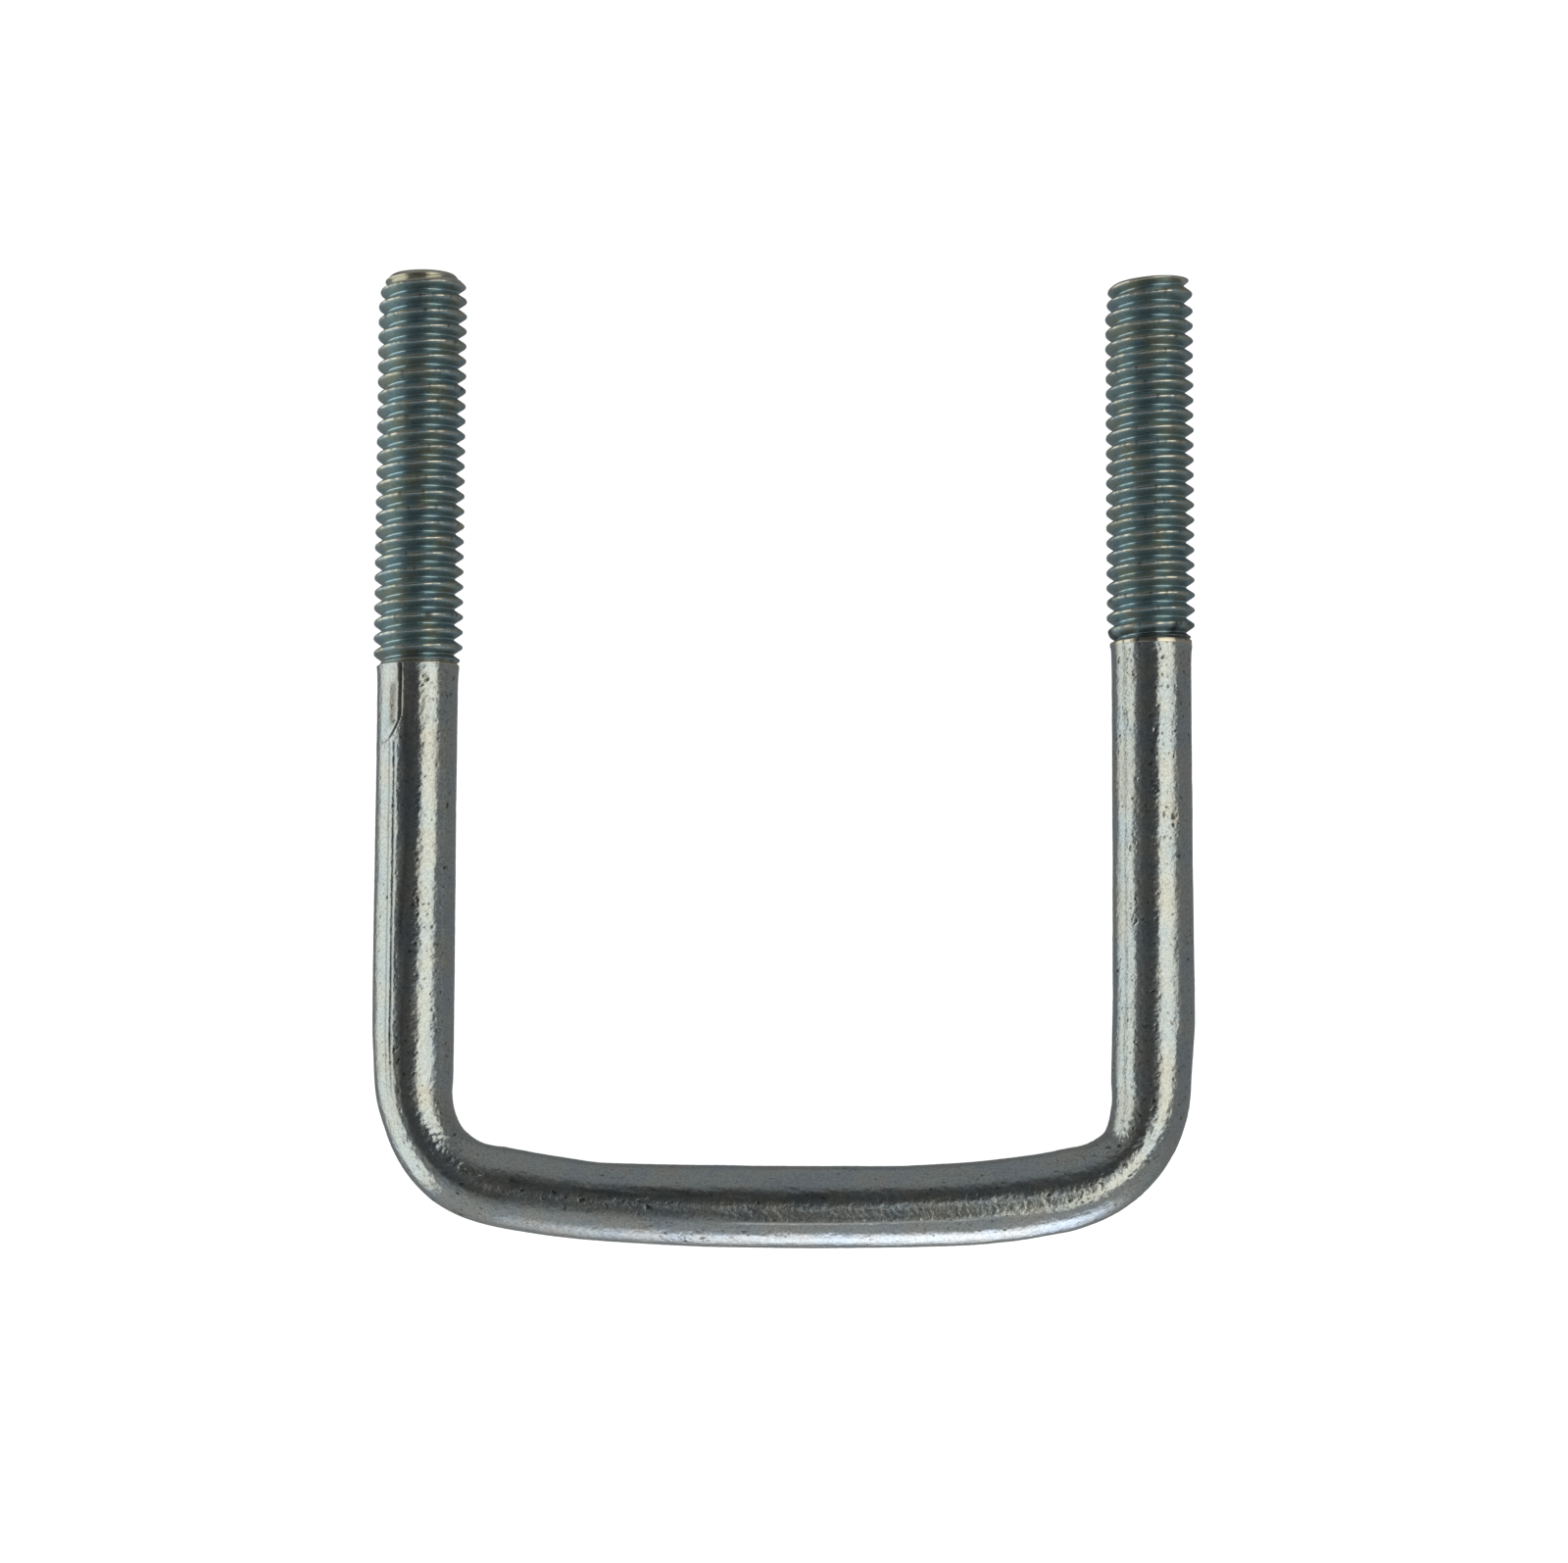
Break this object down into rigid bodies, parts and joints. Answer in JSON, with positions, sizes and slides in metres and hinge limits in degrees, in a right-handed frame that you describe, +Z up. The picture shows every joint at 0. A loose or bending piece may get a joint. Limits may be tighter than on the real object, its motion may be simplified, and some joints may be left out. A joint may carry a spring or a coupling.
{
  "type": "u-bolt",
  "caption": "Square-shouldered U-bolt: a round rod bent twice round a shallow-bowed crosspiece, with a rolled thread on the end of each leg.",
  "frame": {"origin": "under the middle of the outline, on the surface that the part lies on", "axes": "+Y along the legs towards the threaded tips, +X across from the left leg to the right leg, +Z up from the surface it lies on"},
  "size_m": [0.0538, 0.0636, 0.0059],
  "materials": {
    "plain_rod": "satin",
    "rolled_thread": "satin"
  },
  "bodies": {
    "root": {"crosspiece": "plain_rod", "left_bend": "plain_rod", "right_bend": "plain_rod", "left_leg": "plain_rod", "right_leg": "plain_rod", "left_thread": "rolled_thread", "right_thread": "rolled_thread"}
  },
  "joints": []
}
